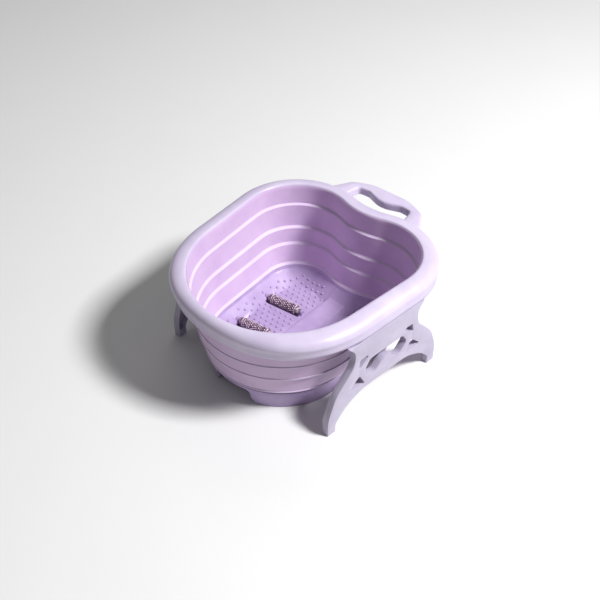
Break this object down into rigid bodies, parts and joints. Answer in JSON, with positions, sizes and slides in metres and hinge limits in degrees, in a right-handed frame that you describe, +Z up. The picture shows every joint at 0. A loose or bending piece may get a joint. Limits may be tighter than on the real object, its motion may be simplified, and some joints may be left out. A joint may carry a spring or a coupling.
{
  "type": "foot spa basin",
  "caption": "Collapsible foot bath with a rolled rim, carrying handle, stepped soft wall, folding leg frames and massage rollers.",
  "frame": {"origin": "on the floor, under the middle of the overall length and width", "axes": "+Z up, +Y towards the carrying handle, +X to the right of a person who stands at the front and looks at the handle"},
  "size_m": [0.4072, 0.47, 0.2],
  "materials": {
    "rigid_shell": "satin moulded polypropylene",
    "soft_wall": "matt thermoplastic elastomer",
    "foot_pad": "matt thermoplastic elastomer",
    "roller": "moulded mauve-brown plastic with raised grain",
    "steel_pin": "drawn stainless wire"
  },
  "bodies": {
    "rim": {"rim": "rigid_shell", "wall_band_top": "soft_wall", "fold_ring_1": "soft_wall", "hinge_pin_front_left": "steel_pin", "hinge_pin_front_right": "steel_pin", "hinge_pin_rear_left": "steel_pin", "hinge_pin_rear_right": "steel_pin"},
    "upper_band": {"wall_band_upper": "soft_wall", "fold_ring_2": "soft_wall"},
    "lower_band": {"wall_band_lower": "soft_wall", "fold_ring_3": "soft_wall"},
    "bottom_band": {"wall_band_bottom": "soft_wall", "fold_ring_4": "soft_wall"},
    "base": {"base_pan": "rigid_shell", "foot_pad_front_left": "foot_pad", "foot_pad_front_right": "foot_pad", "foot_pad_rear_left": "foot_pad", "foot_pad_rear_right": "foot_pad", "roller_axle_front_left": "steel_pin", "roller_axle_rear_left": "steel_pin", "roller_axle_front_right": "steel_pin", "roller_axle_rear_right": "steel_pin"},
    "leg_left": {"leg_frame_left": "rigid_shell"},
    "leg_right": {"leg_frame_right": "rigid_shell"},
    "roller_front_left": {"roller_front_left": "roller"},
    "roller_rear_left": {"roller_rear_left": "roller"},
    "roller_front_right": {"roller_front_right": "roller"},
    "roller_rear_right": {"roller_rear_right": "roller"}
  },
  "joints": [
    {"name": "collapse", "type": "slide", "parent": "bottom_band", "child": "base", "axis": [0, 0, 1], "range_m": [0, 0.038], "deforming": ["fold_ring_4"]},
    {"name": "upper_band_rise", "type": "slide", "parent": "rim", "child": "upper_band", "axis": [0, 0, 1], "range_m": [0, 0.038], "deforming": ["fold_ring_1"]},
    {"name": "lower_band_rise", "type": "slide", "parent": "upper_band", "child": "lower_band", "axis": [0, 0, 1], "range_m": [0, 0.038], "deforming": ["fold_ring_2"]},
    {"name": "bottom_band_rise", "type": "slide", "parent": "lower_band", "child": "bottom_band", "axis": [0, 0, 1], "range_m": [0, 0.036], "deforming": ["fold_ring_3"]},
    {"name": "right_leg_fold", "type": "hinge", "parent": "rim", "child": "leg_right", "pos_m": [0.18291, -0.02618, 0.154], "axis": [0.0906, 0.9959, 0], "range_deg": [0, 62]},
    {"name": "left_leg_fold", "type": "hinge", "parent": "rim", "child": "leg_left", "pos_m": [-0.18291, -0.02618, 0.154], "axis": [0.0906, -0.9959, 0], "range_deg": [0, 62]},
    {"name": "roller_front_left_spin", "type": "hinge", "parent": "base", "child": "roller_front_left", "pos_m": [-0.068, -0.0625, 0.0205], "axis": [0.9925, 0.1219, 0], "continuous": true},
    {"name": "roller_rear_left_spin", "type": "hinge", "parent": "base", "child": "roller_rear_left", "pos_m": [-0.0715, 0.0185, 0.0205], "axis": [0.9925, 0.1219, 0], "continuous": true},
    {"name": "roller_front_right_spin", "type": "hinge", "parent": "base", "child": "roller_front_right", "pos_m": [0.068, -0.0625, 0.0205], "axis": [0.9925, -0.1219, 0], "continuous": true},
    {"name": "roller_rear_right_spin", "type": "hinge", "parent": "base", "child": "roller_rear_right", "pos_m": [0.0715, 0.0185, 0.0205], "axis": [0.9925, -0.1219, 0], "continuous": true}
  ],
  "couplings": [
    {"joint": "upper_band_rise", "follows": "collapse", "ratio": 1},
    {"joint": "lower_band_rise", "follows": "collapse", "ratio": 1},
    {"joint": "bottom_band_rise", "follows": "collapse", "ratio": 0.94737},
    {"joint": "right_leg_fold", "follows": "collapse", "rad_per_m": 28.476},
    {"joint": "left_leg_fold", "follows": "collapse", "rad_per_m": 28.476}
  ]
}
